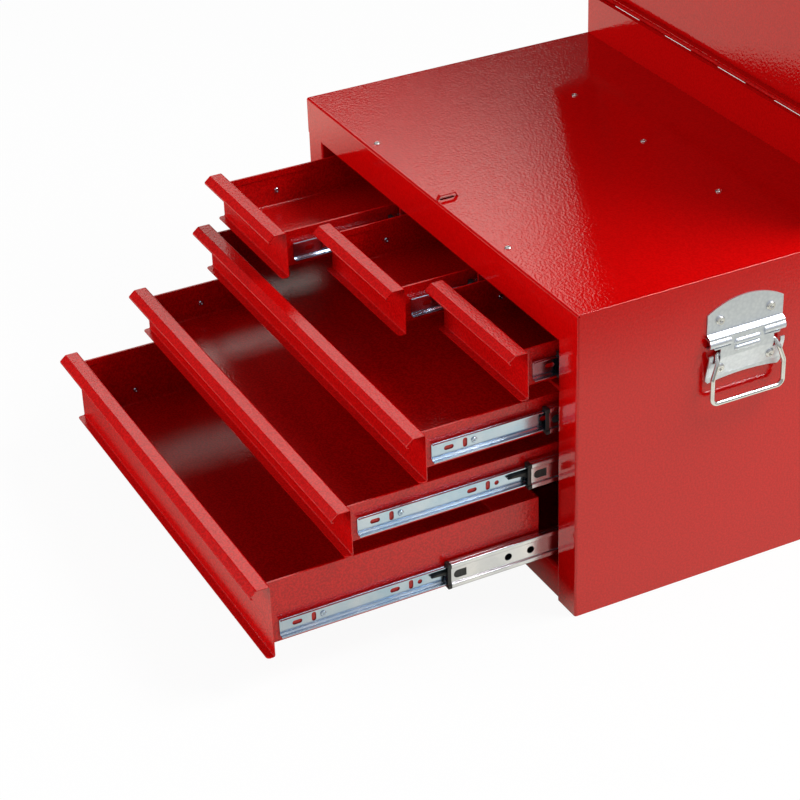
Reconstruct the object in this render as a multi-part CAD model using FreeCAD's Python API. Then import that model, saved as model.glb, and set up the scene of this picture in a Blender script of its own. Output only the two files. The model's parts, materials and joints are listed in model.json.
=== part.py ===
import FreeCAD, Part
import math
import os

# Six-drawer steel tool chest: three small drawers over three wide ones, a flat deck
# with a shallow lid hinged behind it, and ball-bearing slides in three members.
# Millimetres. X runs right, Y back and Z up. The origin is the middle of the base.
# The drawers and the lid stand as they do in the photograph: pulled out by steps, lid up.

Vec = FreeCAD.Vector

# Case
case_width = 600.0
case_depth = 376.0
deck_height = 352.0
case_sheet = 1.0
bend_radius = 1.6
rail_height = 45.0
rail_return = 7.0
post_width = 35.6
post_return = 24.0
base_rail_height = 38.5
base_rail_setback = 1.2
base_rail_return = 12.0
base_bend_radius = 3.0
deck_edge_radius = 0.8
back_flange = 12.0
riser_height = 54.0
riser_flange = 8.0
joint_gap = 0.1

# Uprights that carry the slides, and what carries the small drawers
upright_stand = 2.9
upright_sheet = 1.0
upright_crown = 30.0
upright_flange = 10.0
front_upright_at = 30.0
rear_upright_at = 248.0
divider_thickness = 2.0
divider_flange = 9.0
divider_setback = 8.0
divider_length = 300.0
shelf_sheet = 1.0
shelf_lift = 2.0
shelf_lip = 4.0

# Drawer fronts
front_sheet = 0.9
upper_front_height = 53.5
row_gap = 5.0
top_gap = 4.0
front_side_gap = 2.4
small_front_gap = 3.0
pull_top_depth = 14.0
pull_lip_depth = 9.5
pull_lip_drop = 8.0
pull_return = 5.0
foot_flange = 8.0
front_bend_radius = 1.4
pull_corner_radius = 5.0
foot_corner_radius = 4.0

# Drawer trays
tray_sheet = 0.9
tray_depth = 305.0
tray_lift = 5.0
tray_top_drop = 5.5
tray_bend_radius = 2.2
hem_width = 2.2
hem_height = 7.0
tray_play = 0.3

# Three-member ball-bearing slides
slide_thickness = 12.7
slide_length = 292.0
slide_setback = 12.4
slide_rise = 23.5
slide_sheet = 1.0
slide_bend_radius = 0.3
cabinet_member_height = 35.3
middle_member_height = 29.2
drawer_member_height = 21.0
cabinet_lip_gap = 3.0
middle_lip_gap = 2.0
middle_web_gap = 1.7
drawer_web_gap = 0.5
drawer_corner = 2.0
race_depth = 0.45
race_width = 0.8
race_slope = 0.78
web_recess = 2.2
web_recess_height = 17.0

# Holes and rivets in the slides, measured back from a member's front end
slot_length = 10.8
slot_width = 5.0
slot_at = 19.1
upright_slot_at = 37.1
upright_slot_height = 10.4
rivet_at = 47.1
hole_group_step = 107.6
round_hole_radius = 2.6
rivet_radius = 2.0
rivet_head_radius = 3.1
rivet_head_height = 1.5
rivet_dimple_radius = 1.5
window_at = 3.2
window_length = 14.4
window_height = 9.2
access_hole_radius = 4.2
access_hole_at = 66.0
access_hole_step = 26.0
cabinet_hole_radius = 2.6

# Release levers on the drawer members
lever_front = 166.0
lever_length = 30.0
lever_pivot_back = 4.6
lever_height = 8.0
lever_thickness = 3.6
lever_web_gap = 0.4
lever_stud_radius = 1.8
running_clearance = 0.05

# Lid and its hinge
lid_sheet = 1.0
lid_rear_skirt = 11.5
lid_gap = 0.6
lid_edge_radius = 4.0
lid_open_angle = 100.0
hinge_leaf_height = 10.0
hinge_sheet = 1.0
hinge_barrel_radius = 2.3
hinge_pin_radius = 1.1
hinge_set_off = 0.1
hinge_knuckles = 11
hinge_end_inset = 6.0
knuckle_gap = 0.4

# Lock in the lid and the bridge that it catches
lock_height = 26.0
lock_collar_radius = 9.0
lock_collar_stand = 2.0
lock_barrel_radius = 7.0
lock_barrel_length = 14.0
plug_radius = 5.0
plug_stand = 0.6
key_slot_length = 7.0
key_slot_width = 1.6
key_slot_depth = 2.5
cam_thickness = 1.6
cam_width = 6.0
cam_finger_height = 1.8
cam_hook_angle = 17.0
key_turn = 90.0
bridge_offset = 13.0
bridge_width = 4.0
bridge_front = 2.8
bridge_length = 23.0
bridge_rise = 4.6
bridge_sheet = 1.0
bridge_ramp = 3.0

# Rivets in the deck
deck_rivet_radius = 3.4
deck_rivet_height = 1.6
deck_rivet_front = 12.4
deck_rivet_rear = 264.0
deck_rivet_side = 145.0

# Side handles
handle_back = 193.0
handle_drop = 72.0
plate_sheet = 1.4
plate_bend_radius = 1.0
plate_half_width = 45.0
plate_top_middle = 43.7
plate_top_end = 30.5
plate_bottom_middle = 43.5
plate_bottom_end = 47.0
plate_lower_corner = 3.0
band_stand = 5.6
band_top = 5.0
band_bottom = 18.0
band_ramp = 3.0
band_foot = 40.0
notch_depth = 6.5
notch_top = 7.0
notch_bottom = 14.0
bead_radius = 6.2
bead_height = 9.0
bead_length = 25.0
bead_drop = 1.0
ridge_radius = 3.4
ridge_stand = 2.2
ridge_length = 32.0
ridge_step = 7.1
ridge_drop = 7.8
plate_rivet_side = 30.0
plate_rivet_top = 21.6
plate_rivet_bottom = 30.8
plate_rivet_radius = 5.2
plate_rivet_height = 2.2
plate_rivet_dimple = 2.4
bail_wire_radius = 2.5
bail_side_gap = 0.3
bail_axis_drop = 14.5
bail_half_width = 42.5
bail_drop = 52.5
bail_stand = 8.0
bail_elbow_drop = 8.0
bail_elbow_stand = 6.8
bail_elbow_half_width = 37.0
bail_slant_drop = 24.0
bail_corner_radius = 7.0
bail_bend_radius = 5.0
bail_pin_inner = 14.0
bail_pin_outer = 34.5
bail_slot_low = 8.6
bail_slot_high = 7.0
bail_slot_outer = 40.2
bail_slot_inner = 31.8

# How far the parts of each slide stand out in the photograph
wide_out = {"bottom": (131.5, 186.5), "middle": (38.5, 190.5), "upper": (18.0, 128.0)}
small_out = {"left": (8.0, 118.5), "centre": (5.0, 70.5), "right": (2.0, 30.5)}

# Places worked out from the sizes above
half_width = case_width / 2
opening_half = half_width - post_width
opening_top = deck_height - rail_height
riser_top = deck_height + riser_height
lid_top = riser_top + lid_rear_skirt
hinge_y = case_depth + hinge_barrel_radius + hinge_set_off
hinge_z = riser_top + lid_gap / 2
front_half = opening_half - front_side_gap
mount_half = opening_half - upright_stand
tray_clear = slide_thickness + tray_play
small_width = (2 * front_half - 2 * small_front_gap) / 3
divider_x = small_width / 2 + small_front_gap / 2
deck_under = deck_height - case_sheet
handle_height = deck_height - handle_drop
bail_axis_z = handle_height - bail_axis_drop
outer_bend = bend_radius + case_sheet
middle_web = slide_thickness - slide_sheet - middle_web_gap
cam_drop = lock_height - bridge_rise / 3
cam_reach = math.hypot(bridge_offset, cam_drop)
bridge_edge = bridge_offset + bridge_width / 2 + knuckle_gap
bridge_top_drop = lock_height - bridge_rise - bridge_sheet
cam_locked_angle = math.degrees(
    math.atan2(bridge_top_drop, bridge_edge)
    - math.asin(cam_width / 2 / math.hypot(bridge_edge, bridge_top_drop))
)


def box(x0, x1, y0, y1, z0, z1):
    return Part.makeBox(x1 - x0, y1 - y0, z1 - z0, Vec(x0, y0, z0))


def rod(radius, start, along, length):
    return Part.makeCylinder(radius, length, start, along)


def mirror_x(shape):
    return shape.mirror(Vec(0, 0, 0), Vec(1, 0, 0))


def moved(shape, x=0.0, y=0.0, z=0.0):
    copy = shape.copy()
    copy.translate(Vec(x, y, z))
    return copy


def turned(shape, point, axis, angle):
    copy = shape.copy()
    copy.rotate(point, axis, angle)
    return copy


def wire_from(points):
    return Part.makePolygon(points + [points[0]])


def place(plane, a, b, at):
    # A point of a profile drawn in one of the three planes.
    if plane == "xy":
        return Vec(a, b, at)
    if plane == "xz":
        return Vec(a, at, b)
    return Vec(at, a, b)


def along_plane(plane, length):
    if plane == "xy":
        return Vec(0, 0, length)
    if plane == "xz":
        return Vec(0, length, 0)
    return Vec(length, 0, 0)


def offset_corners(points, shift):
    # The same open line moved sideways to its left by shift, with sharp corners.
    moved_points = []
    count = len(points)
    for i in range(count):
        before = points[max(i - 1, 0)]
        here = points[i]
        after = points[min(i + 1, count - 1)]
        normals = []
        for start, end in ((before, here), (here, after)):
            dx = end[0] - start[0]
            dy = end[1] - start[1]
            size = math.hypot(dx, dy)
            if size > 0:
                normals.append((-dy / size, dx / size))
        first = normals[0]
        last = normals[-1]
        scale = shift / (1 + first[0] * last[0] + first[1] * last[1])
        moved_points.append((here[0] + (first[0] + last[0]) * scale, here[1] + (first[1] + last[1]) * scale))
    return moved_points


def rounded_line(points, radii, plane, at):
    # Straight runs joined by arcs, one radius for each inner corner.
    edges = []
    start = points[0]
    for i in range(1, len(points) - 1):
        before = points[i - 1]
        here = points[i]
        after = points[i + 1]
        run_in = math.hypot(here[0] - before[0], here[1] - before[1])
        run_out = math.hypot(after[0] - here[0], after[1] - here[1])
        in_dir = ((here[0] - before[0]) / run_in, (here[1] - before[1]) / run_in)
        out_dir = ((after[0] - here[0]) / run_out, (after[1] - here[1]) / run_out)
        dot = in_dir[0] * out_dir[0] + in_dir[1] * out_dir[1]
        turn = math.acos(max(-1.0, min(1.0, dot)))
        cut = radii[i - 1] * math.tan(turn / 2)
        first = (here[0] - in_dir[0] * cut, here[1] - in_dir[1] * cut)
        last = (here[0] + out_dir[0] * cut, here[1] + out_dir[1] * cut)
        to_centre = (out_dir[0] - in_dir[0], out_dir[1] - in_dir[1])
        size = math.hypot(to_centre[0], to_centre[1])
        reach = radii[i - 1] / math.cos(turn / 2) - radii[i - 1]
        middle = (here[0] + to_centre[0] / size * reach, here[1] + to_centre[1] / size * reach)
        edges.append(Part.makeLine(place(plane, start[0], start[1], at), place(plane, first[0], first[1], at)))
        arc = Part.Arc(
            place(plane, first[0], first[1], at),
            place(plane, middle[0], middle[1], at),
            place(plane, last[0], last[1], at),
        )
        edges.append(arc.toShape())
        start = last
    end = points[-1]
    edges.append(Part.makeLine(place(plane, start[0], start[1], at), place(plane, end[0], end[1], at)))
    return edges


def folded_sheet(points, thickness, radius, side, plane, at, length):
    # Sheet metal folded along a line. The line is one face of the sheet, the sheet lies on
    # its left (side 1) or right (side -1), and radius is the inside radius of every bend.
    other = offset_corners(points, side * thickness)
    line_radii = []
    other_radii = []
    for i in range(1, len(points) - 1):
        ax = points[i][0] - points[i - 1][0]
        ay = points[i][1] - points[i - 1][1]
        bx = points[i + 1][0] - points[i][0]
        by = points[i + 1][1] - points[i][1]
        turns_to_sheet = (ax * by - ay * bx) * side > 0
        line_radii.append(radius + thickness if turns_to_sheet else radius)
        other_radii.append(radius if turns_to_sheet else radius + thickness)
    edges = rounded_line(points, line_radii, plane, at)
    edges += rounded_line(other, other_radii, plane, at)
    for near, far in ((points[0], other[0]), (points[-1], other[-1])):
        edges.append(Part.makeLine(place(plane, near[0], near[1], at), place(plane, far[0], far[1], at)))
    outline = Part.Wire(Part.__sortEdges__(edges))
    return Part.Face(outline).extrude(along_plane(plane, length))


def slot_cutter(x, y, z, length, width, depth, upright):
    # A slot with round ends, cut along X, either along Y or standing up.
    radius = width / 2
    run = length - width
    if upright:
        ends = (Vec(x, y, z - run / 2), Vec(x, y, z + run / 2))
        middle = box(x, x + depth, y - radius, y + radius, z - run / 2, z + run / 2)
    else:
        ends = (Vec(x, y - run / 2, z), Vec(x, y + run / 2, z))
        middle = box(x, x + depth, y - run / 2, y + run / 2, z - radius, z + radius)
    rounds = [rod(radius, end, Vec(1, 0, 0), depth) for end in ends]
    return middle.fuse(rounds).removeSplitter()


def pan_head(radius, height, base, along):
    # A flat rivet head with a bevelled rim.
    rim = height / 2
    foot = rod(radius, base, along, height - rim)
    bevel = Part.makeCone(radius, radius - rim, rim, base + along * (height - rim), along)
    return foot.fuse(bevel)


def hollow_head(radius, height, dimple, base, along):
    # A pan head with a cone pressed into its middle.
    depth = height * 0.6
    cone = Part.makeCone(0, dimple, depth, base + along * (height - depth), along)
    return pan_head(radius, height, base, along).cut(cone)


# Rows of drawers, from the top down
def drawer_rows():
    rows = []
    top = opening_top - top_gap
    for name in ("small", "upper", "middle"):
        rows.append((name, top - upper_front_height, top))
        top = top - upper_front_height - row_gap
    rows.append(("bottom", base_rail_height + row_gap, top))
    return rows


def drawer_list():
    # One entry for each drawer: its front, the faces that its slides are fixed to, and its place.
    drawers = []
    for row, low, high in drawer_rows():
        if row != "small":
            drawers.append({
                "name": row + "_drawer", "front": (-front_half, front_half),
                "mounts": (-mount_half, mount_half), "low": low, "high": high, "out": wide_out[row],
            })
            continue
        inner = divider_thickness / 2
        spans = {
            "left": ((-front_half, -front_half + small_width), (-mount_half, -divider_x - inner)),
            "centre": ((-small_width / 2, small_width / 2), (-divider_x + inner, divider_x - inner)),
            "right": ((front_half - small_width, front_half), (divider_x + inner, mount_half)),
        }
        for place_name in ("left", "centre", "right"):
            front, mounts = spans[place_name]
            drawers.append({
                "name": place_name + "_small_drawer", "front": front,
                "mounts": mounts, "low": low, "high": high, "out": small_out[place_name],
            })
    return drawers


# Case panels
def side_panel():
    path = [
        (opening_half, post_return), (opening_half, 0), (half_width, 0),
        (half_width, case_depth - case_sheet), (half_width - back_flange, case_depth - case_sheet),
    ]
    panel = folded_sheet(path, case_sheet, bend_radius, 1, "xy", 0, deck_under)
    behind_rail = post_return + case_sheet
    joint = opening_top + outer_bend
    post_top = box(0, half_width - case_sheet, -case_sheet, behind_rail, joint, deck_height)
    corner_top = box(0, case_width, -case_sheet, case_sheet, joint, deck_height)
    deck_bend = box(0, case_width, -case_sheet, outer_bend, deck_height - outer_bend, deck_height)
    rear_wall = case_depth - case_sheet
    foot = box(
        half_width - back_flange - 1, half_width - case_sheet, rear_wall - case_sheet - bend_radius,
        rear_wall, -case_sheet, case_sheet + joint_gap,
    )
    return panel.cut(post_top).cut(corner_top).cut(deck_bend).cut(foot)


def deck_panel():
    rear = case_depth - case_sheet
    path = [(rail_return, opening_top), (0, opening_top), (0, deck_height), (rear, deck_height)]
    deck = folded_sheet(path, case_sheet, bend_radius, -1, "yz", -half_width, case_width)
    deck = deck.makeFillet(deck_edge_radius, deck_side_edges(deck))
    slot_half = bridge_width / 2
    opening = box(
        bridge_offset - slot_half, bridge_offset + slot_half,
        bridge_front + bridge_ramp, bridge_front + bridge_length - bridge_ramp,
        deck_under - 1, deck_height + 1,
    )
    # The rail's lower bend runs between the posts, and the posts meet its flat face above it.
    for side in (-1, 1):
        x0, x1 = sorted((side * (opening_half - joint_gap), side * case_width))
        deck = deck.cut(box(x0, x1, -case_sheet, rail_return + 1, opening_top - 1, opening_top + outer_bend))
    return deck.cut(opening).fuse(striker_bridge())


def deck_side_edges(deck):
    edges = []
    for edge in deck.Edges:
        bounds = edge.BoundBox
        at_side = abs(abs(bounds.XMin) - half_width) < 0.01 and bounds.XLength < 0.01
        if at_side and abs(bounds.ZMin - deck_height) < 0.01 and bounds.YLength > rail_height:
            edges.append(edge)
    return edges


def striker_bridge():
    # A strip pressed up out of the deck, open at both sides so that the lock's cam can pass.
    rear = bridge_front + bridge_length
    path = [
        (bridge_front, deck_height), (bridge_front + bridge_ramp, deck_height + bridge_rise),
        (rear - bridge_ramp, deck_height + bridge_rise), (rear, deck_height),
    ]
    start = [(bridge_front - bridge_sheet, deck_height)]
    end = [(rear + bridge_sheet, deck_height)]
    left = bridge_offset - bridge_width / 2
    strip = folded_sheet(
        start + path + end, bridge_sheet, bridge_sheet / 2, 1, "yz", left, bridge_width
    )
    return strip


def bottom_panel():
    path = [
        (base_rail_setback + base_rail_return, base_rail_height), (base_rail_setback, base_rail_height),
        (base_rail_setback, 0), (case_depth - case_sheet, 0),
    ]
    inner = half_width - case_sheet
    panel = folded_sheet(path, case_sheet, base_bend_radius, 1, "yz", -inner, 2 * inner)
    behind = post_return + case_sheet
    for side in (-1, 1):
        edge = side * (opening_half - joint_gap)
        outside = side * case_width
        x0, x1 = sorted((edge, outside))
        panel = panel.cut(box(x0, x1, -case_sheet, behind, -case_sheet, base_rail_height + case_sheet))
    return panel


def back_panel():
    path = [(case_depth - riser_flange, riser_top), (case_depth, riser_top), (case_depth, 0)]
    inner = half_width - case_sheet
    panel = folded_sheet(path, case_sheet, bend_radius, -1, "yz", -inner, 2 * inner)
    for side in (-1, 1):
        x0, x1 = sorted((side * (inner - lid_gap), side * case_width))
        panel = panel.cut(box(x0, x1, 0, case_depth + case_sheet, deck_height, riser_top + case_sheet))
    return panel


def slide_upright(at):
    # A hat section on the side panel. Its crown carries the slides' cabinet members.
    wall = half_width - case_sheet
    path = [
        (wall, at - upright_flange), (wall, at), (mount_half + upright_sheet, at),
        (mount_half + upright_sheet, at + upright_crown), (wall, at + upright_crown),
        (wall, at + upright_crown + upright_flange),
    ]
    low = case_sheet
    return folded_sheet(path, upright_sheet, upright_sheet, 1, "xy", low, deck_under - low)


def uprights():
    return Part.makeCompound([slide_upright(front_upright_at), slide_upright(rear_upright_at)])


def shelf_top():
    rows = drawer_rows()
    return rows[0][1] - shelf_lift


def small_drawer_shelf():
    top = shelf_top()
    lip_y = divider_setback
    path = [(lip_y, top - shelf_lip), (lip_y, top), (lip_y + divider_length, top)]
    return folded_sheet(path, shelf_sheet, bend_radius / 2, -1, "yz", -mount_half, 2 * mount_half)


def divider():
    low = shelf_top()
    left = divider_x - divider_thickness / 2
    path = [
        (left + divider_thickness + divider_flange, low), (left, low),
        (left, deck_under), (left + divider_thickness + divider_flange, deck_under),
    ]
    start = divider_setback + shelf_sheet
    return folded_sheet(path, divider_thickness, bend_radius / 2, -1, "xz", start, divider_length - shelf_sheet)


def dividers():
    return Part.makeCompound([divider(), mirror_x(divider())])


def deck_rivets():
    places = [(-deck_rivet_side, deck_rivet_front), (deck_rivet_side, deck_rivet_front)]
    for x in (-deck_rivet_side, 0, deck_rivet_side):
        places.append((x, deck_rivet_rear))
    up = Vec(0, 0, 1)
    dimple = deck_rivet_radius / 2
    heads = []
    for x, y in places:
        heads.append(hollow_head(deck_rivet_radius, deck_rivet_height, dimple, Vec(x, y, deck_height), up))
    return Part.makeCompound(heads)


# Drawer pieces, drawn closed with the front's face at Y 0
def drawer_front(drawer):
    x0, x1 = drawer["front"]
    low = drawer["low"]
    high = drawer["high"]
    lip_y = -pull_top_depth - pull_lip_depth
    lip_z = high - pull_lip_drop
    path = [
        (-foot_flange, low), (front_sheet, low), (front_sheet, high), (-pull_top_depth, high),
        (lip_y, lip_z), (lip_y + pull_return, lip_z - pull_return / 3),
    ]
    front = folded_sheet(path, front_sheet, front_bend_radius, 1, "yz", x0, x1 - x0)
    for x in (x0, x1):
        inward = 1 if x == x0 else -1
        front = front.cut(corner_round(x, inward, -foot_flange, foot_corner_radius, low - 1, low + 3))
        front = front.cut(corner_round(x, inward, lip_y - 1, pull_corner_radius, lip_z - pull_return, high - 1))
    return front


def corner_round(x, inward, y, radius, z0, z1):
    # What is cut away where a flange's free corner is rounded, seen from above.
    square = box(min(x, x + inward * radius), max(x, x + inward * radius), y, y + radius, z0, z1)
    centre = Vec(x + inward * radius, y + radius, z0)
    grown = square.fuse(box(x - 1 if inward > 0 else x, x if inward > 0 else x + 1, y - 1, y + radius, z0, z1))
    return grown.cut(rod(radius, centre, Vec(0, 0, 1), z1 - z0))


def tray_span(drawer):
    left, right = drawer["mounts"]
    return left + tray_clear, right - tray_clear


def drawer_tray(drawer):
    x0, x1 = tray_span(drawer)
    low = drawer["low"] + tray_lift
    high = drawer["high"] - tray_top_drop
    outer = box(x0, x1, front_sheet, tray_depth, low, high)
    outer = round_bottom(outer, low, tray_bend_radius + tray_sheet)
    inner = box(
        x0 + tray_sheet, x1 - tray_sheet, front_sheet + tray_sheet, tray_depth - tray_sheet,
        low + tray_sheet, high + tray_bend_radius,
    )
    inner = round_bottom(inner, low + tray_sheet, tray_bend_radius)
    tray = outer.cut(inner)
    hem_in = hem_width - tray_sheet
    hem_low = high - hem_height
    for side_x in (x0 + tray_sheet, x1 - tray_sheet - hem_in):
        hem = box(side_x, side_x + hem_in, front_sheet + tray_sheet, tray_depth - tray_sheet, hem_low, high)
        tray = tray.fuse(hem)
    rear = box(x0 + tray_sheet, x1 - tray_sheet, tray_depth - hem_width, tray_depth - tray_sheet, hem_low, high)
    tray = tray.fuse(rear).removeSplitter()
    z = slide_z(drawer)
    y = slide_setback + rivet_at
    return tray.cut(rod(rivet_radius, Vec(x0 - 1, y, z), Vec(1, 0, 0), x1 - x0 + 2))


def round_bottom(shape, low, radius):
    edges = []
    for edge in shape.Edges:
        bounds = edge.BoundBox
        flat = bounds.ZMax - bounds.ZMin < 0.01
        if flat and abs(bounds.ZMin - low) < 0.01:
            edges.append(edge)
    return shape.makeFillet(radius, edges)


# Slide members, drawn for the right-hand side with S running out from the tray wall
def slide_z(drawer):
    return drawer["low"] + slide_rise


def raced_flange(lip, root, height):
    # A flange from its lip to the web, with a groove for the balls pressed towards the
    # middle of the slide.
    span = abs(root - lip)
    step = 1 if root > lip else -1
    flat = (span - race_width - 2 * race_slope) / 2
    dip = height - race_depth
    return [
        (lip, height), (lip + step * flat, height), (lip + step * (flat + race_slope), dip),
        (lip + step * (flat + race_slope + race_width), dip),
        (lip + step * (span - flat), height), (root, height),
    ]


def mirrored_path(points):
    return points + [(a, -b) for a, b in reversed(points)]


def drawer_member():
    half = drawer_member_height / 2
    lip = middle_web - web_recess - slide_sheet - drawer_web_gap
    flange = raced_flange(lip, drawer_corner, half)
    path = mirrored_path(flange + [(0, half - drawer_corner)])
    member = folded_sheet(path, slide_sheet, slide_bend_radius, 1, "xz", 0, slide_length)
    cutters = []
    for start in (0, hole_group_step):
        cutters.append(slot_cutter(-1, slot_at + start, 0, slot_length, slot_width, 3, False))
        cutters.append(slot_cutter(-1, upright_slot_at + start, 0, upright_slot_height, slot_width, 3, True))
    cutters.append(rod(round_hole_radius, Vec(-1, rivet_at + hole_group_step, 0), Vec(1, 0, 0), 3))
    member = member.cut(Part.makeCompound(cutters))
    out = Vec(1, 0, 0)
    rivet_start = Vec(-tray_play - tray_sheet, rivet_at, 0)
    rivet = rod(rivet_radius, rivet_start, out, slide_sheet + tray_play + tray_sheet)
    web_face = Vec(slide_sheet, rivet_at, 0)
    outer_head = hollow_head(rivet_head_radius, rivet_head_height, rivet_dimple_radius, web_face, out)
    inner_head = hollow_head(rivet_head_radius, rivet_head_height, rivet_dimple_radius, rivet_start, out * -1)
    lever_y, lever_z = lever_pivot()
    stud = rod(lever_stud_radius, Vec(slide_sheet / 2, lever_y, lever_z), out, lever_web_gap + lever_thickness)
    return member.fuse([rivet, outer_head, inner_head, stud]).removeSplitter()


def middle_member():
    half = middle_member_height / 2
    recess = web_recess_height / 2
    flange = raced_flange(middle_lip_gap, middle_web, half)
    step = [(middle_web, recess + web_recess / 2), (middle_web - web_recess, recess)]
    path = mirrored_path(flange + step)
    member = folded_sheet(path, slide_sheet, slide_bend_radius, -1, "xz", 0, slide_length)
    depth = slide_thickness
    window_half = window_height / 2
    window = box(0, depth, window_at + window_half, window_at + window_length, -window_half, window_half)
    round_front = rod(window_half, Vec(0, window_at + window_half, 0), Vec(1, 0, 0), depth)
    member = member.cut(window.fuse(round_front))
    for i in range(2):
        y = access_hole_at + i * access_hole_step
        member = member.cut(rod(access_hole_radius, Vec(0, y, 0), Vec(1, 0, 0), depth))
    return member


def cabinet_member():
    half = cabinet_member_height / 2
    lip = cabinet_lip_gap
    path = mirrored_path([(lip, half), (slide_thickness, half)])
    member = folded_sheet(path, slide_sheet, slide_bend_radius * 2, -1, "xz", 0, slide_length)
    for at in (front_upright_at, rear_upright_at):
        y = at + upright_crown / 2 - slide_setback
        member = member.cut(rod(cabinet_hole_radius, Vec(0, y, 0), Vec(1, 0, 0), slide_thickness + 1))
    return member


def on_both_sides(drawer, shape, out):
    # The same member on both sides of a drawer, slid out by out.
    x0, x1 = tray_span(drawer)
    y = slide_setback - out
    z = slide_z(drawer)
    right = moved(shape, x1 + tray_play, y, z)
    left = moved(mirror_x(shape), x0 - tray_play, y, z)
    return [left, right]


def lever_pivot():
    return lever_front + lever_length - lever_pivot_back, 0.0


def release_lever():
    # A plastic lever with an arrow-shaped finger tip in front of its pivot.
    y0 = lever_front
    y1 = lever_front + lever_length
    half = lever_height / 2
    tip = half * 0.5
    points = [
        (y0, tip * 0.8), (y0 + lever_length * 0.2, half), (y1 - half, half), (y1, tip),
        (y1, -tip), (y1 - half, -half), (y1 - lever_length * 0.35, -half * 0.6),
        (y1 - lever_length * 0.42, tip * 0.3),
    ]
    s0 = slide_sheet + lever_web_gap
    outline = wire_from([Vec(s0, y, z) for y, z in points])
    body = Part.Face(outline).extrude(Vec(lever_thickness, 0, 0))
    y, z = lever_pivot()
    return body.cut(rod(lever_stud_radius + running_clearance, Vec(0, y, z), Vec(1, 0, 0), slide_thickness))


# Lid, hinge and lock, drawn shut
def lid_shell():
    low = deck_height + lid_gap
    outer = box(-half_width, half_width, 0, case_depth, low, lid_top)
    outer = round_lid(outer, lid_edge_radius)
    inner = box(
        -half_width + lid_sheet, half_width - lid_sheet, lid_sheet, case_depth - lid_sheet,
        low - lid_gap, lid_top - lid_sheet,
    )
    inner = round_lid(inner, lid_edge_radius - lid_sheet)
    shell = outer.cut(inner)
    rear_start = case_depth - case_sheet - lid_gap
    skirt_low = riser_top + lid_gap
    shell = shell.cut(box(-case_width, case_width, rear_start, case_depth + 1, low - 1, skirt_low))
    flange_start = case_depth - riser_flange - lid_gap
    inner_half = half_width - lid_sheet
    shell = shell.cut(box(-inner_half, inner_half, flange_start, case_depth + 1, low - 1, skirt_low))
    lock_z = deck_height + lock_height
    return shell.cut(rod(lock_barrel_radius + joint_gap, Vec(0, -1, lock_z), Vec(0, 1, 0), 3 + lid_sheet))


def round_lid(shape, radius):
    bounds = shape.BoundBox
    edges = []
    for edge in shape.Edges:
        box_of = edge.BoundBox
        on_top = abs(box_of.ZMin - bounds.ZMax) < 0.01
        rear = abs(box_of.YMin - bounds.YMax) < 0.01
        upright = box_of.ZMax - box_of.ZMin > radius and abs(box_of.YMax - bounds.YMin) < 0.01
        if (on_top and not rear) or upright:
            edges.append(edge)
    return shape.makeFillet(radius, edges)


def knuckle_spans(first):
    # Stretches of the hinge barrel that belong to one leaf, every second one from first.
    length = case_width - 2 * hinge_end_inset
    step = length / hinge_knuckles
    spans = []
    for i in range(first, hinge_knuckles, 2):
        start = -length / 2 + i * step
        spans.append((start + knuckle_gap / 2, start + step - knuckle_gap / 2))
    return spans


def hinge_leaf(first, upward, clearance):
    length = case_width - 2 * hinge_end_inset
    direction = 1 if upward else -1
    near = hinge_z
    far = hinge_z + direction * (hinge_leaf_height + lid_gap)
    leaf = box(-length / 2, length / 2, case_depth, case_depth + hinge_sheet, min(near, far), max(near, far))
    bare = hinge_barrel_radius + knuckle_gap
    for x0, x1 in knuckle_spans(1 - first):
        z0, z1 = sorted((near - direction, near + direction * bare))
        leaf = leaf.cut(box(x0 - knuckle_gap, x1 + knuckle_gap, case_depth - 1, case_depth + 3, z0, z1))
    axis = Vec(1, 0, 0)
    barrels = []
    for x0, x1 in knuckle_spans(first):
        barrels.append(rod(hinge_barrel_radius, Vec(x0, hinge_y, hinge_z), axis, x1 - x0))
        web = box(x0, x1, case_depth, hinge_y, *sorted((near, near + direction * hinge_sheet)))
        barrels.append(web)
    leaf = leaf.fuse(barrels)
    bore = rod(hinge_pin_radius + clearance, Vec(-length, hinge_y, hinge_z), axis, 2 * length)
    return leaf.cut(bore).removeSplitter()


def hinge_pin():
    length = case_width - 2 * hinge_end_inset
    return rod(hinge_pin_radius, Vec(-length / 2, hinge_y, hinge_z), Vec(1, 0, 0), length)


def lock_body():
    z = deck_height + lock_height
    back = Vec(0, 1, 0)
    collar = pan_head(lock_collar_radius, lock_collar_stand, Vec(0, 0, z), Vec(0, -1, 0))
    barrel = rod(lock_barrel_radius, Vec(0, 0, z), back, lock_barrel_length)
    bore = rod(plug_radius + running_clearance, Vec(0, -lock_collar_stand - 1, z), back, lock_barrel_length + 5)
    return collar.fuse(barrel).cut(bore).removeSplitter()


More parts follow.
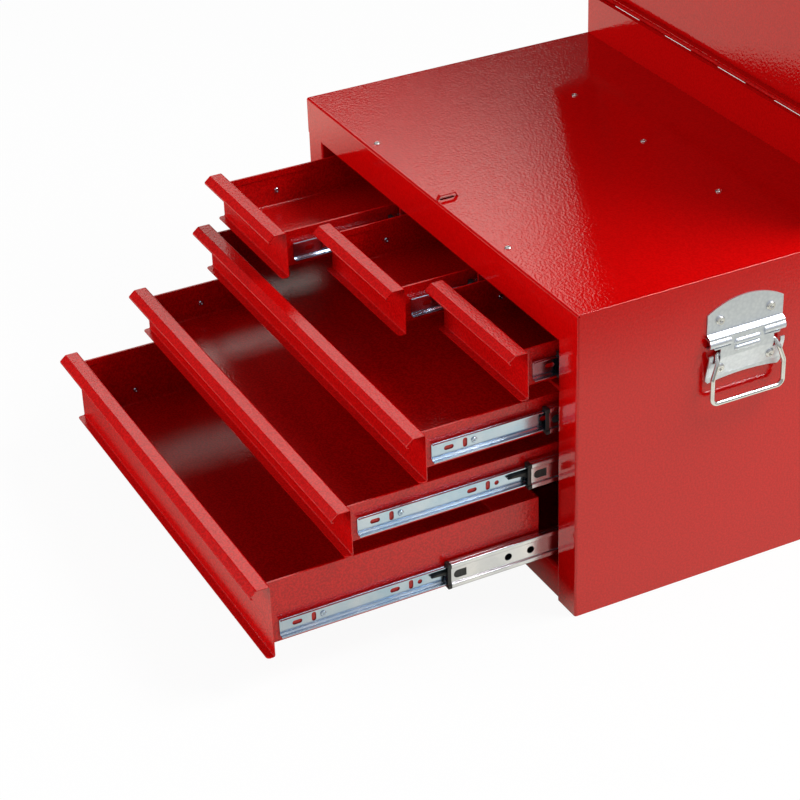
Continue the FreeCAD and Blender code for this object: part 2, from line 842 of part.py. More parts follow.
def lock_plug():
    # The key plug with the cam behind it. Turning the key swings the cam down beside the
    # bridge in the deck until its hook lies under the bridge.
    z = deck_height + lock_height
    back = Vec(0, 1, 0)
    start = -lock_collar_stand - plug_stand
    cam_y = lock_barrel_length + running_clearance
    plug = rod(plug_radius, Vec(0, start, z), back, cam_y + cam_thickness - start)
    slot = box(
        -key_slot_width / 2, key_slot_width / 2, start - 1, start + key_slot_depth,
        z - key_slot_length / 2, z + key_slot_length / 2,
    )
    cam_end = cam_reach + cam_finger_height / 2
    inside = cam_reach - cam_finger_height / 2
    arm = box(0, cam_end, cam_y, cam_y + cam_thickness, z - cam_width / 2, z + cam_width / 2)
    ring = rod(cam_end, Vec(0, cam_y, z), back, cam_thickness)
    arm = arm.common(ring)
    ring = ring.cut(rod(inside, Vec(0, cam_y - 1, z), back, cam_thickness + 2))
    drop = cam_reach * math.sin(math.radians(cam_hook_angle))
    hook = ring.common(box(inside * 0.7, case_width, cam_y - 1, cam_y + 5, z - drop, z))
    cam = arm.fuse(hook)
    plug = plug.cut(slot).fuse(cam).removeSplitter()
    return turned(plug, Vec(0, 0, z), back, cam_locked_angle - key_turn)


def opened(shape):
    return turned(shape, Vec(0, hinge_y, hinge_z), Vec(1, 0, 0), -lid_open_angle)


# Side handles, drawn for the right-hand side
def arc_through(left, middle, right):
    return Part.Arc(left, middle, right).toShape()


def half_tube(radius, height, y0, y1, z, side_x):
    # A pressed bead: a half-round shell that stands out of the plate along Y.
    scale = height / radius
    outer = rod(radius, Vec(0, y0, 0), Vec(0, 1, 0), y1 - y0)
    inner = rod(radius - plate_sheet, Vec(0, y0 - 1, 0), Vec(0, 1, 0), y1 - y0 + 2)
    shell = outer.cut(inner).common(box(0, radius * 2, y0 - 1, y1 + 1, -radius * 2, radius * 2))
    matrix = FreeCAD.Matrix()
    matrix.scale(scale, 1, 1)
    return moved(shell.transformGeometry(matrix), side_x, 0, z)


def handle_outline(x):
    w = plate_half_width
    top = plate_top_end
    low = plate_bottom_end
    corner = plate_lower_corner

    def point(y, z):
        return Vec(x, handle_back + y, handle_height + z)

    edges = [arc_through(point(-w, top), point(0, plate_top_middle), point(w, top))]
    edges.append(arc_through(point(-w + corner, -low), point(0, -plate_bottom_middle), point(w - corner, -low)))
    for side in (-1, 1):
        corners = [
            point(side * w, top), point(side * w, 0), point(side * (w - notch_depth), -notch_top),
            point(side * (w - notch_depth), -notch_bottom), point(side * w, -notch_bottom),
            point(side * w, -low + corner), point(side * (w - corner), -low),
        ]
        for start, end in zip(corners, corners[1:]):
            edges.append(Part.makeLine(start, end))
    return Part.Wire(Part.__sortEdges__(edges))


def plate_section():
    # The plate seen along the chest: flat on top, a raised band, and a leg that slopes back.
    x = half_width
    return [
        (x, handle_height + plate_top_middle + 1), (x, handle_height + band_top + band_ramp),
        (x + band_stand, handle_height + band_top), (x + band_stand, handle_height - band_bottom),
        (x, handle_height - band_foot), (x, handle_height - plate_bottom_end - 1),
    ]


def ridge(y0, y1, z):
    # A pressed rib with rounded ends on the raised band.
    face = half_width + band_stand + plate_sheet
    centre_x = face + ridge_stand - ridge_radius
    rib = rod(ridge_radius, Vec(centre_x, y0, z), Vec(0, 1, 0), y1 - y0)
    balls = [Part.makeSphere(ridge_radius, Vec(centre_x, y, z)) for y in (y0, y1)]
    behind = face - plate_sheet / 2
    room = 2 * ridge_radius
    return rib.fuse(balls).common(box(behind, face + room, y0 - room, y1 + room, z - room, z + room))


def handle_plate():
    y0 = handle_back - plate_half_width
    sheet = folded_sheet(plate_section(), plate_sheet, plate_bend_radius, 1, "xz", y0, 2 * plate_half_width)
    depth = band_stand + bead_height
    outline = Part.Face(handle_outline(half_width - 1)).extrude(Vec(depth, 0, 0))
    plate = sheet.common(outline)
    x = half_width
    bead_z = handle_height - bead_drop
    hollow = bead_radius - plate_sheet
    parts = []
    for side in (-1, 1):
        edge = handle_back + side * plate_half_width
        y0, y1 = sorted((edge, edge - side * bead_length))
        plate = plate.cut(box(x - 1, x + depth, y0, y1, bead_z - hollow, bead_z + hollow))
        parts.append(half_tube(bead_radius, bead_height, y0, y1, bead_z, x))
        s0, s1 = sorted((handle_back + side * bail_slot_inner, handle_back + side * bail_slot_outer))
        slot = box(x - 1, x + depth, s0, s1, bail_axis_z - bail_slot_low, bail_axis_z + bail_slot_high)
        plate = plate.cut(slot)
    ridge_half = ridge_length / 2 - ridge_radius
    for i in range(2):
        z = handle_height - ridge_drop + (0.5 - i) * ridge_step
        parts.append(ridge(handle_back - ridge_half, handle_back + ridge_half, z))
    return plate.fuse(parts).removeSplitter()


def rivet_place(z):
    # Where a rivet meets the plate's outer face, and which way that face looks.
    drop = handle_height - band_bottom - z
    if drop < 0:
        return plate_sheet, Vec(1, 0, 0)
    fall = band_foot - band_bottom
    away = Vec(fall, 0, -band_stand).normalize()
    return band_stand * (1 - drop / fall) + plate_sheet / away.x, away


def handle_rivets():
    heads = []
    for y in (-plate_rivet_side, plate_rivet_side):
        for rise in (plate_rivet_top, -plate_rivet_bottom):
            z = handle_height + rise
            stand, away = rivet_place(z)
            base = Vec(half_width + stand, handle_back + y, z)
            heads.append(hollow_head(plate_rivet_radius, plate_rivet_height, plate_rivet_dimple, base, away))
    return Part.makeCompound(heads + [mirror_x(head) for head in heads])


def bail():
    # A wire loop that hangs from two pins behind the plate's raised band.
    x = half_width + bail_wire_radius + bail_side_gap

    def point(side, y, out, drop):
        return Vec(x + out, handle_back + side * y, bail_axis_z - drop)

    half_loop = [
        (bail_pin_inner, 0, 0), (bail_pin_outer, 0, 0),
        (bail_elbow_half_width, bail_elbow_stand, bail_elbow_drop),
        (bail_half_width, bail_stand, bail_slant_drop), (bail_half_width, bail_stand, bail_drop),
    ]
    path = [point(-1, y, out, drop) for y, out, drop in half_loop]
    path += [point(1, y, out, drop) for y, out, drop in reversed(half_loop)]
    radii = [bail_bend_radius] * (len(path) - 2)
    for i in (3, 4):
        radii[i] = bail_corner_radius
    return bent_rod(path, radii, bail_wire_radius)


def bent_rod(points, radii, rod_radius):
    # A round rod along straight runs joined by bends.
    pieces = []
    start = points[0]
    for i in range(1, len(points) - 1):
        here = points[i]
        into = (here - points[i - 1]).normalize()
        out = (points[i + 1] - here).normalize()
        turn = into.getAngle(out)
        cut = radii[i - 1] * math.tan(turn / 2)
        first = here - into * cut
        last = here + out * cut
        bisector = (out - into).normalize()
        centre = here + bisector * (radii[i - 1] / math.cos(turn / 2))
        pieces.append(rod(rod_radius, start, into, (first - start).Length))
        section = Part.Face(Part.Wire(Part.makeCircle(rod_radius, first, into)))
        pieces.append(section.revolve(centre, into.cross(out), math.degrees(turn)))
        start = last
    end = points[-1]
    pieces.append(rod(rod_radius, start, (end - start).normalize(), (end - start).Length))
    return pieces[0].fuse(pieces[1:]).removeSplitter()


def save(name, shape):
    centred = moved(shape, 0, -case_depth / 2, 0)
    centred.exportStep("parts/" + name + ".step")


def build_case():
    right = side_panel()
    save("right_side_panel", right)
    save("left_side_panel", mirror_x(right))
    save("deck_panel", deck_panel())
    save("bottom_panel", bottom_panel())
    save("back_panel", back_panel())
    save("right_slide_uprights", uprights())
    save("left_slide_uprights", mirror_x(uprights()))
    save("small_drawer_shelf", small_drawer_shelf())
    save("drawer_dividers", dividers())
    save("deck_rivets", deck_rivets())


def build_lid():
    save("lid_shell", opened(lid_shell()))
    save("lid_hinge_leaf", opened(hinge_leaf(1, True, running_clearance)))
    save("case_hinge_leaf", hinge_leaf(0, False, 0))
    save("hinge_pin", hinge_pin())
    save("lock_body", opened(lock_body()))
    save("lock_plug", opened(lock_plug()))


def build_handles():
    plate = handle_plate()
    loop = bail()
    save("right_handle_plate", plate)
    save("left_handle_plate", mirror_x(plate))
    save("right_handle_bail", loop)
    save("left_handle_bail", mirror_x(loop))
    save("handle_rivets", handle_rivets())


def build_drawers():
    members = {"drawer": drawer_member(), "middle": middle_member(), "cabinet": cabinet_member()}
    lever = release_lever()
    cabinet_left = []
    cabinet_right = []
    for drawer in drawer_list():
        name = drawer["name"]
        middle_out, tray_out = drawer["out"]
        out = middle_out + tray_out
        save(name + "_front", moved(drawer_front(drawer), 0, -out))
        save(name + "_tray", moved(drawer_tray(drawer), 0, -out))
        inner_pair = on_both_sides(drawer, members["drawer"], out)
        middle_pair = on_both_sides(drawer, members["middle"], middle_out)
        save(name + "_slide_inner", Part.makeCompound(inner_pair))
        save(name + "_slide_middle", Part.makeCompound(middle_pair))
        left_lever, right_lever = on_both_sides(drawer, lever, out)
        save(name + "_left_lever", left_lever)
        save(name + "_right_lever", right_lever)
        left, right = on_both_sides(drawer, members["cabinet"], 0)
        cabinet_left.append(left)
        cabinet_right.append(right)
    save("left_cabinet_members", Part.makeCompound(cabinet_left))
    save("right_cabinet_members", Part.makeCompound(cabinet_right))


os.makedirs("parts", exist_ok=True)
build_case()
build_lid()
build_handles()
build_drawers()
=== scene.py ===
import json
import math

import bmesh
import bpy
from mathutils import Matrix, Vector


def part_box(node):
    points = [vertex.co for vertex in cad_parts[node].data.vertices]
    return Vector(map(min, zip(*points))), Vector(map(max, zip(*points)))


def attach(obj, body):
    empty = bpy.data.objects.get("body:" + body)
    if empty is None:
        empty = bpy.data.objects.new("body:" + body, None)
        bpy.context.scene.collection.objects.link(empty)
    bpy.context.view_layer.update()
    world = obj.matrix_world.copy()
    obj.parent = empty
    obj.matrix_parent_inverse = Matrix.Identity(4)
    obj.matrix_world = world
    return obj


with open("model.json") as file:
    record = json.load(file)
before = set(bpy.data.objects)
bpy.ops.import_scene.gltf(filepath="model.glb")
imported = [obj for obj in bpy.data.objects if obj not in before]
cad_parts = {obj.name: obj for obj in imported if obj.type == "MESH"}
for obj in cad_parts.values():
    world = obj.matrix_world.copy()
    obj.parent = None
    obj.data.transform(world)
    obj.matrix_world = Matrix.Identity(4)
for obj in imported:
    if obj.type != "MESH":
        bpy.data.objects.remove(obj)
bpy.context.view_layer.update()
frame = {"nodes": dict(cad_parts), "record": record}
print("chest loaded,", len(frame["nodes"]), "nodes")


class Reading:
    # One output of a node. Python's operators on it add Math nodes.
    def __init__(self, bench, socket):
        self.bench = bench
        self.socket = socket

    def math(self, operation, first, second):
        return self.bench.node("ShaderNodeMath", {"operation": operation}, {0: first, 1: second})

    def __add__(self, other):
        return self.math("ADD", self, other)

    def __radd__(self, other):
        return self.math("ADD", other, self)

    def __sub__(self, other):
        return self.math("SUBTRACT", self, other)

    def __rsub__(self, other):
        return self.math("SUBTRACT", other, self)

    def __mul__(self, other):
        return self.math("MULTIPLY", self, other)

    def __rmul__(self, other):
        return self.math("MULTIPLY", other, self)


class Bench:
    # A node tree with one method that adds a node, sets it up and fills its sockets.
    # The other methods call it for what is used more than once.
    def __init__(self, tree):
        self.tree = tree
        tree.nodes.clear()

    def node(self, kind, settings=None, sockets=None, stops=None, out=0):
        made = self.tree.nodes.new(kind)
        for name, value in (settings or {}).items():
            setattr(made, name, value)
        if stops:
            ramp = made.color_ramp
            while len(ramp.elements) < len(stops):
                ramp.elements.new(1.0)
            for element, (place, value) in zip(ramp.elements, stops):
                element.position = place
                element.color = (value, value, value, 1.0)
        for name, value in (sockets or {}).items():
            if isinstance(value, Reading):
                self.tree.links.new(value.socket, made.inputs[name])
            else:
                made.inputs[name].default_value = value
        return Reading(self, made.outputs[out]) if made.outputs else made

    def noise(self, place, scale, detail=2.0, roughness=0.5):
        sockets = {"Vector": place, "Scale": scale, "Detail": detail, "Roughness": roughness}
        return self.node("ShaderNodeTexNoise", None, sockets)

    def fade(self, value, edges, top=1.0):
        # 0 up to the first edge and top from the second, for a value between 0 and 1
        return self.node("ShaderNodeValToRGB", None, {"Fac": value}, list(zip(edges, (0.0, top))))

    def steps(self, value, places, heights):
        # Runs through the heights at these places, for a value between -1 and 1
        stops = [(0.5 + place / 2, height) for place, height in zip(places, heights)]
        return self.node("ShaderNodeValToRGB", None, {"Fac": 0.5 + value * 0.5}, stops)

    def axes(self, place):
        parts = self.node("ShaderNodeSeparateXYZ", None, {0: place}).socket.node.outputs
        return [Reading(self, parts[axis]) for axis in range(3)]

    def blend(self, amount, first, second):
        # Sockets 6 and 7 are the node's two colours, and output 2 is the colour
        sockets = {0: amount, 6: first, 7: second}
        return self.node("ShaderNodeMix", {"data_type": "RGBA"}, sockets, out=2)

    def blendShaders(self, amount, first, second):
        return self.node("ShaderNodeMixShader", None, {0: amount, 1: first, 2: second})

    def rays(self):
        # Two readings: 1 where the camera looks, also through clear material, and 1 in reflections
        path = self.node("ShaderNodeLightPath").socket.node.outputs
        kinds = ("Is Camera Ray", "Is Glossy Ray", "Is Transmission Ray")
        camera, glossy, through = [Reading(self, path[kind]) for kind in kinds]
        return camera + through, glossy


def newSurface(name):
    surface = bpy.data.materials.new(name)
    surface.use_nodes = True
    bench = Bench(surface.node_tree)
    place = bench.node("ShaderNodeTexCoord", out="Object")
    return surface, bench, place


def closeSurface(bench, sockets, height, bumpStrength, bumpDepth):
    sockets["Normal"] = bench.node(
        "ShaderNodeBump", None, {"Height": height, "Strength": bumpStrength, "Distance": bumpDepth}
    )
    shader = bench.node("ShaderNodeBsdfPrincipled", None, sockets)
    bench.node("ShaderNodeOutputMaterial", None, {"Surface": shader})


# Powder coat: a saturated red with orange peel and a fine grain. The case is glossier, and the
# drawers show more of the grain.
powderCoat = {
    "colour": (0.59, 0.0012, 0.0014, 1.0),
    "deepColour": (0.46, 0.0006, 0.0008, 1.0),
    "cloudsPerMetre": 7.0,
    "cloudEdges": (0.3, 0.75),
    "evenness": 0.75,
    "darkGrain": (0.28, 0.0004, 0.0005, 1.0),
    "brightGrain": (0.73, 0.004, 0.004, 1.0),
    "grainPerMetre": 450.0,
    "grainEdges": (0.38, 0.62),
    "specksPerMetre": 1100.0,
    "roughnessSpread": 0.03,
    "refraction": 1.5,
    "peelDepth": 0.00026,
    "case": {"roughness": 0.05, "peelPerMetre": 330.0, "peelStrength": 0.5, "grain": 0.2},
    "drawer": {"roughness": 0.17, "peelPerMetre": 420.0, "peelStrength": 1.0, "grain": 0.42},
}


def powderCoatSurface(name, finish):
    surface, bench, place = newSurface(name)
    clouds = bench.noise(place, powderCoat["cloudsPerMetre"], detail=3.0)
    peel = bench.noise(place, finish["peelPerMetre"], detail=1.0, roughness=0.6)
    specks = bench.noise(place, powderCoat["specksPerMetre"], detail=1.0)
    shade = bench.fade(clouds, powderCoat["cloudEdges"])
    cloudy = bench.blend(shade, powderCoat["deepColour"], powderCoat["colour"])
    smooth = bench.blend(powderCoat["evenness"], cloudy, powderCoat["colour"])
    grain = bench.noise(place, powderCoat["grainPerMetre"], detail=1.0)
    grain = bench.fade(grain, powderCoat["grainEdges"])
    grained = bench.blend(grain, powderCoat["darkGrain"], powderCoat["brightGrain"])
    spread = powderCoat["roughnessSpread"]
    sockets = {
        "Base Color": bench.blend(finish["grain"], smooth, grained),
        "Roughness": finish["roughness"] + spread * clouds + spread * specks,
        "IOR": powderCoat["refraction"],
    }
    closeSurface(bench, sockets, peel, finish["peelStrength"], powderCoat["peelDepth"])
    return surface


# Bright zinc of the slides: faint streaks along the rolled strip, from a cool to a warm tint.
# The middle members are paler than the others.
slideZinc = {
    "outer": {"cool": (0.41, 0.54, 0.69, 1.0), "warm": (0.56, 0.62, 0.73, 1.0)},
    "middle": {"cool": (0.60, 0.61, 0.67, 1.0), "warm": (0.76, 0.75, 0.80, 1.0)},
    "streaksPerMetre": (900.0, 14.0, 900.0),
    "cloudsPerMetre": 30.0,
    "cloudEdges": (0.35, 0.7),
    "roughness": 0.13,
    "streakRoughness": 0.1,
    "cloudRoughness": 0.06,
    "bumpStrength": 0.08,
    "bumpDepth": 0.0001,
}


def slideZincSurface(name, tints):
    surface, bench, place = newSurface(name)
    stretch = {0: place, 1: slideZinc["streaksPerMetre"]}
    drawnOut = bench.node("ShaderNodeVectorMath", {"operation": "MULTIPLY"}, stretch)
    streaks = bench.noise(drawnOut, 1.0, detail=3.0, roughness=0.6)
    clouds = bench.noise(place, slideZinc["cloudsPerMetre"], detail=3.0)
    tint = bench.fade(clouds, slideZinc["cloudEdges"])
    dull = slideZinc["streakRoughness"] * streaks + slideZinc["cloudRoughness"] * clouds
    sockets = {
        "Base Color": bench.blend(tint, tints["cool"], tints["warm"]),
        "Metallic": 1.0,
        "Roughness": slideZinc["roughness"] + dull,
    }
    closeSurface(bench, sockets, streaks, slideZinc["bumpStrength"], slideZinc["bumpDepth"])
    return surface


# Handle plate: duller zinc with a fine crystalline mottle
plateZinc = {
    "pale": (0.80, 0.85, 0.93, 1.0),
    "grey": (0.66, 0.71, 0.79, 1.0),
    "mottlePerMetre": 260.0,
    "mottleEdges": (0.1, 0.8),
    "mottleAmount": 0.6,
    "finePerMetre": 900.0,
    "roughness": 0.36,
    "mottleRoughness": 0.12,
    "fineRoughness": 0.05,
    "bumpStrength": 0.06,
    "bumpDepth": 0.0001,
}


def plateZincSurface(name):
    surface, bench, place = newSurface(name)
    cells = {"Vector": place, "Scale": plateZinc["mottlePerMetre"]}
    mottle = bench.node("ShaderNodeTexVoronoi", {"feature": "F1"}, cells)
    fine = bench.noise(place, plateZinc["finePerMetre"])
    amount = bench.fade(mottle, plateZinc["mottleEdges"], plateZinc["mottleAmount"])
    dull = plateZinc["mottleRoughness"] * mottle + plateZinc["fineRoughness"] * fine
    sockets = {
        "Base Color": bench.blend(amount, plateZinc["pale"], plateZinc["grey"]),
        "Metallic": 1.0,
        "Roughness": plateZinc["roughness"] + dull,
    }
    closeSurface(bench, sockets, fine, plateZinc["bumpStrength"], plateZinc["bumpDepth"])
    return surface


# Bright drawn wire, rivets and the lock's face, with duller marks
brightSteel = {
    "colour": (0.74, 0.75, 0.76, 1.0),
    "markColour": (0.5, 0.5, 0.5, 1.0),
    "marksPerMetre": 60.0,
    "markEdges": (0.4, 0.8),
    "markAmount": 0.5,
    "markRoughness": 0.12,
    "finePerMetre": 700.0,
    "wireRoughness": 0.14,
    "rivetRoughness": 0.2,
    "lockRoughness": 0.08,
    "bumpStrength": 0.05,
    "bumpDepth": 0.0001,
}


def brightSteelSurface(name, roughness):
    surface, bench, place = newSurface(name)
    fine = bench.noise(place, brightSteel["finePerMetre"], detail=3.0)
    marks = bench.noise(place, brightSteel["marksPerMetre"], detail=4.0)
    amount = bench.fade(marks, brightSteel["markEdges"], brightSteel["markAmount"])
    sockets = {
        "Base Color": bench.blend(amount, brightSteel["colour"], brightSteel["markColour"]),
        "Metallic": 1.0,
        "Roughness": roughness + brightSteel["markRoughness"] * marks,
    }
    closeSurface(bench, sockets, fine, brightSteel["bumpStrength"], brightSteel["bumpDepth"])
    return surface


# Black moulded plastic of the levers and stops, with paler scuffs
blackPlastic = {
    "colour": (0.012, 0.012, 0.013, 1.0),
    "scuffColour": (0.035, 0.035, 0.037, 1.0),
    "scuffsPerMetre": 120.0,
    "scuffEdges": (0.5, 0.85),
    "grainPerMetre": 1500.0,
    "roughness": 0.42,
    "grainRoughness": 0.15,
    "bumpStrength": 0.15,
    "bumpDepth": 0.0001,
}


def blackPlasticSurface(name):
    surface, bench, place = newSurface(name)
    grain = bench.noise(place, blackPlastic["grainPerMetre"])
    scuffs = bench.noise(place, blackPlastic["scuffsPerMetre"], detail=3.0)
    amount = bench.fade(scuffs, blackPlastic["scuffEdges"])
    sockets = {
        "Base Color": bench.blend(amount, blackPlastic["colour"], blackPlastic["scuffColour"]),
        "Roughness": blackPlastic["roughness"] + blackPlastic["grainRoughness"] * grain,
    }
    closeSurface(bench, sockets, grain, blackPlastic["bumpStrength"], blackPlastic["bumpDepth"])
    return surface


def dressNodes():
    # Gives each of the record's material slots its finish
    casePaint = powderCoatSurface("redPowderCoat", powderCoat["case"])
    drawerPaint = powderCoatSurface("redDrawerCoat", powderCoat["drawer"])
    finishes = {
        "case_paint": casePaint,
        "lid_paint": casePaint,
        "drawer_paint": drawerPaint,
        "inner_steel": drawerPaint,
        "hinge_steel": drawerPaint,
        "slide_zinc": slideZincSurface("slideZinc", slideZinc["outer"]),
        "handle_zinc": plateZincSurface("plateZinc"),
        "wire_chrome": brightSteelSurface("bailWire", brightSteel["wireRoughness"]),
        "rivet_steel": brightSteelSurface("rivetSteel", brightSteel["rivetRoughness"]),
        "lock_chrome": brightSteelSurface("lockFace", brightSteel["lockRoughness"]),
        "black_plastic": blackPlasticSurface("blackPlastic"),
    }
    middleZinc = slideZincSurface("middleSlideZinc", slideZinc["middle"])
    for part in frame["record"]["subparts"]:
        node = part["node"]
        finish = middleZinc if node.endswith("_slide_middle") else finishes[part["material_slot"]]
        mesh = frame["nodes"][node].data
        for index in range(len(mesh.materials)):
            mesh.materials[index] = finish
    return finishes


def finishPiece(name, form, body, surface, bevel):
    # Turns a made mesh into a piece that rides on a body, with its edges softened
    mesh = bpy.data.meshes.new(name)
    form.to_mesh(mesh)
    form.free()
    mesh.materials.append(surface)
    for face in mesh.polygons:
        face.use_smooth = True
    piece = bpy.data.objects.new(name, mesh)
    bpy.context.scene.collection.objects.link(piece)
    rounding = piece.modifiers.new("edges", "BEVEL")
    rounding.width = bevel
    rounding.segments = 2
    rounding.limit_method = "ANGLE"
    rounding.harden_normals = True
    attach(piece, body)


def addBlock(form, low, high):
    # A box between two corners, added to a mesh under construction
    centre = (Vector(low) + Vector(high)) / 2
    size = Vector(high) - Vector(low)
    place = Matrix.Translation(centre) @ Matrix.Diagonal((*size, 1.0))
    bmesh.ops.create_cube(form, size=1.0, matrix=place)


def addRoundedPlate(form, acrossX, front, rear, middleZ, half, steps=12):
    # A plate across X with a half-round front end and a square rear end
    rim = [(rear, middleZ - half), (rear, middleZ + half)]
    for i in range(steps + 1):
        turn = math.pi / 2 + math.pi * i / steps
        rim.append((front + half + half * math.cos(turn), middleZ + half * math.sin(turn)))
    rings = [[form.verts.new((x, y, z)) for y, z in rim] for x in acrossX]
    form.faces.new(list(reversed(rings[0])))
    form.faces.new(rings[1])
    for i in range(len(rim)):
        after = (i + 1) % len(rim)
        form.faces.new((rings[0][i], rings[0][after], rings[1][after], rings[1][i]))


# Plastic stop round the front end of each middle member, with a tongue that fills its window
stop = {
    "ahead": 0.0042,
    "collar": 0.0042,
    "depth": 0.0085,
    "wall": 0.0012,
    "webRecess": 0.0022,
    "webSheet": 0.001,
    "windowAt": 0.0032,
    "windowEnd": 0.0176,
    "windowHeight": 0.0092,
    "ribAt": 0.0105,
    "ribWidth": 0.0014,
    "gap": 0.0001,
    "bevel": 0.0004,
    "tongueBevel": 0.0001,
}


class MemberEnd:
    # The front end of one middle member. Depths run inwards from its outer face, lengths back
    # from its front end and heights up from its middle.
    def __init__(self, name, side):
        low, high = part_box(name)
        self.side = side
        self.outer = high.x if side > 0 else low.x
        self.front = low.y
        self.middleZ = (low.z + high.z) / 2
        self.half = (high.z - low.z) / 2

    def across(self, depths):
        return sorted(self.outer - self.side * depth for depth in depths)

    def block(self, form, depths, lengths, heights):
        x = self.across(depths)
        corners = [(x[i], self.front + lengths[i], self.middleZ + heights[i]) for i in (0, 1)]
        addBlock(form, *corners)


def stopCollar(end):
    form = bmesh.new()
    low = end.half - stop["collar"]
    face = stop["webRecess"] / 2
    ahead = (-stop["ahead"], -stop["gap"])
    end.block(form, (0.0, stop["depth"]), ahead, (low, end.half))
    end.block(form, (0.0, stop["depth"]), ahead, (-end.half, -low))
    end.block(form, (face, face + stop["wall"]), ahead, (-low, low))
    return form


def stopTongue(end):
    # The window's filling is half as thick as the web, with a rib of the full thickness
    form = bmesh.new()
    half = stop["windowHeight"] / 2 - stop["gap"]
    outside = stop["webRecess"]
    inside = outside + stop["webSheet"]
    acrossX = end.across((inside, outside + stop["webSheet"] / 2))
    rear = end.front + stop["windowEnd"] - stop["gap"]
    addRoundedPlate(form, acrossX, end.front + stop["windowAt"], rear, end.middleZ, half)
    rib = (stop["ribAt"], stop["ribAt"] + stop["ribWidth"])
    end.block(form, (outside, inside), rib, (-half, half))
    return form


def slideStops(plastic):
    for name in frame["nodes"]:
        if not name.endswith("_slide_middle"):
            continue
        drawer = name[: -len("_slide_middle")]
        body = drawer + "_middle_members"
        for side, sideName in ((-1, "_left_stop"), (1, "_right_stop")):
            end = MemberEnd(name, side)
            piece = drawer + sideName
            finishPiece(piece, stopCollar(end), body, plastic, stop["bevel"])
            tongue = piece + "_tongue"
            finishPiece(tongue, stopTongue(end), body, plastic, stop["tongueBevel"])


# Camera fitted to the photograph
photoView = {
    "place": (1.94598, -1.18868, 1.41751),
    "forward": (-0.76937, 0.37877, -0.51439),
    "up": (-0.44479, 0.26034, 0.85696),
    "focalPixels": 2319.05,
    "imageSide": 800,
    "sensor": 36.0,
    "clipEnd": 50.0,
}


def setCamera():
    forward = Vector(photoView["forward"]).normalized()
    right = forward.cross(Vector(photoView["up"])).normalized()
    up = right.cross(forward)
    data = bpy.data.cameras.new("photoCamera")
    data.sensor_width = photoView["sensor"]
    data.lens = photoView["focalPixels"] * photoView["sensor"] / photoView["imageSide"]
    data.clip_end = photoView["clipEnd"]
    camera = bpy.data.objects.new("photoCamera", data)
    turn = Matrix((right, up, -forward)).transposed().to_4x4()
    camera.matrix_world = Matrix.Translation(photoView["place"]) @ turn
    bpy.context.scene.collection.objects.link(camera)
    bpy.context.scene.camera = camera


# Two soft lamps: one behind the chest on its right, and one in front of it on its left
lamps = [
    {
        "name": "keySoftbox", "place": (1.0, 1.4, 2.4), "target": (0.0, -0.1, 0.3),
        "size": 1.2, "power": 66.0,
    },
    {
        "name": "frontSoftbox", "place": (-0.7, -2.4, 0.9), "target": (0.0, -0.3, 0.2),
        "size": 1.4, "power": 28.0,
    },
]


def setLamps():
    for lamp in lamps:
        data = bpy.data.lights.new(lamp["name"], "AREA")
        data.shape = "SQUARE"
        data.size = lamp["size"]
        data.energy = lamp["power"]
        holder = bpy.data.objects.new(lamp["name"], data)
        holder.location = lamp["place"]
        aim = Vector(lamp["target"]) - Vector(lamp["place"])
        holder.rotation_euler = aim.to_track_quat("-Z", "Y").to_euler()
        bpy.context.scene.collection.objects.link(holder)


# The surround is white to the camera and lights the chest evenly. What gloss and metal mirror of
# it is dim on the left, brighter from glowRise on, and has a bright window on the left. A ray of
# length 1 meets the window where it rises by more than windowBottom and runs back by windowFrom
# to windowTo for each length that it runs to the left.
surround = {
    "white": (1.0, 1.0, 1.0, 1.0),
    "ambient": 0.38,
    "leftGlow": 0.05,
    "rightGlow": 0.5,
    "glowRise": (-0.5, -0.15),
    "windowGlow": 1.75,
    "windowTint": (1.0, 0.99, 0.92, 1.0),
    "windowBottom": (0.407, 0.422),
    "windowFrom": 0.176,
    "windowTo": 0.591,
    "windowSoftness": 0.008,
}


def setWorld():
    world = bpy.data.worlds.new("whiteStudio")
    bpy.context.scene.world = world
    world.use_nodes = True
    bench = Bench(world.node_tree)
    seen, glossy = bench.rays()
    x, y, z = bench.axes(bench.node("ShaderNodeTexCoord", out="Generated"))

    def background(colour, strength):
        return bench.node("ShaderNodeBackground", None, {"Color": colour, "Strength": strength})

    edges = (-surround["windowSoftness"], surround["windowSoftness"])
    above = bench.steps(z, surround["windowBottom"], (0.0, 1.0))
    beyondStart = bench.steps(x * surround["windowFrom"] + y, edges, (0.0, 1.0))
    beforeEnd = bench.steps(0.0 - x * surround["windowTo"] - y, edges, (0.0, 1.0))
    glow = bench.steps(x, surround["glowRise"], (surround["leftGlow"], surround["rightGlow"]))
    room = background(surround["white"], glow)
    window = background(surround["windowTint"], surround["windowGlow"])
    mirrored = bench.blendShaders(above * beyondStart * beforeEnd, room, window)
    lit = bench.blendShaders(glossy, background(surround["white"], surround["ambient"]), mirrored)
    shown = bench.blendShaders(seen, lit, background(surround["white"], 1.0))
    bench.node("ShaderNodeOutputWorld", None, {"Surface": shown})


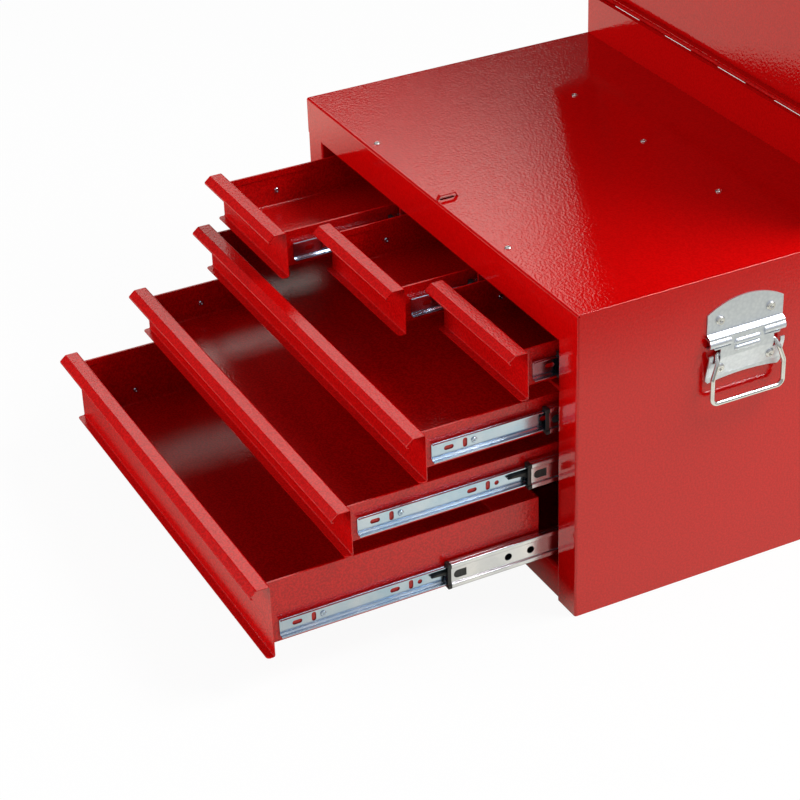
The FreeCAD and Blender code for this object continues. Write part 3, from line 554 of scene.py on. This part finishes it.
# The floor is white to the camera, apart from a soft shadow. What gloss and metal mirror of it is
# bright beside the chest, with painted shadow in front of it and under the drawers, and painted
# shade far to the right. frontFade holds sums of x and y, and the other places are along one axis,
# in metres.
ground = {
    "side": 14.0,
    "matt": (0.92, 0.92, 0.92, 1.0),
    "whiteness": 0.94,
    "white": (1.0, 1.0, 1.0, 1.0),
    "shine": 1.05,
    "shineTint": (1.0, 0.98, 0.84, 1.0),
    # Colour of the painted shadow on the floor, as gloss and metal mirror it
    "dark": (0.03, 0.03, 0.03, 1.0),
    "frontFade": (-1.0, 0.2),
    "frontLeftEnd": (-0.95, -0.75),
    "underX": (-0.34, -0.28, 0.26, 0.30),
    "underY": (-0.56, -0.48, -0.21, -0.15),
    "rightEdge": (0.68, 0.86),
    "farRight": 0.28,
}


def floorSurface():
    surface, bench, place = newSurface("paleFloor")
    seen, glossy = bench.rays()
    x, y = bench.axes(place)[:2]
    # Painted shadow for mirrors: in front of the chest up to its left end and under the drawers,
    # with painted shade far to the right. bright is 1 where none of it is painted.
    front = bench.steps(x + y, ground["frontFade"], (1.0, 0.0))
    front = front * bench.steps(x, ground["frontLeftEnd"], (0.0, 1.0))
    within = (0.0, 1.0, 1.0, 0.0)
    paintedShadowUnder = bench.steps(x, ground["underX"], within) * bench.steps(y, ground["underY"], within)
    right = bench.steps(x, ground["rightEdge"], (1.0, ground["farRight"]))
    bright = (1.0 - front) * (1.0 - paintedShadowUnder) * right

    def glow(colour, strength):
        return bench.node("ShaderNodeEmission", None, {"Color": colour, "Strength": strength})

    matt = bench.node("ShaderNodeBsdfDiffuse", None, {"Color": ground["matt"]})
    # The near-black floor that mirrors show where the shadow is painted
    dark = bench.node("ShaderNodeBsdfDiffuse", None, {"Color": ground["dark"]})
    mirrored = bench.blendShaders(bright, dark, glow(ground["shineTint"], ground["shine"]))
    plain = bench.blendShaders(seen * ground["whiteness"], matt, glow(ground["white"], 1.0))
    shown = bench.blendShaders(glossy, plain, mirrored)
    bench.node("ShaderNodeOutputMaterial", None, {"Surface": shown})
    return surface


def setFloor():
    half = ground["side"] / 2
    form = bmesh.new()
    corners = ((-half, -half), (half, -half), (half, half), (-half, half))
    form.faces.new([form.verts.new((x, y, 0.0)) for x, y in corners])
    mesh = bpy.data.meshes.new("floor")
    form.to_mesh(mesh)
    form.free()
    mesh.materials.append(floorSurface())
    floor = bpy.data.objects.new("floor", mesh)
    bpy.context.scene.collection.objects.link(floor)


setCamera()
setWorld()
setLamps()
setFloor()
bpy.context.scene.view_settings.view_transform = "Standard"
print("camera, light and floor set")

finishes = dressNodes()
print("finishes given")

slideStops(finishes["black_plastic"])
print("slide stops made")
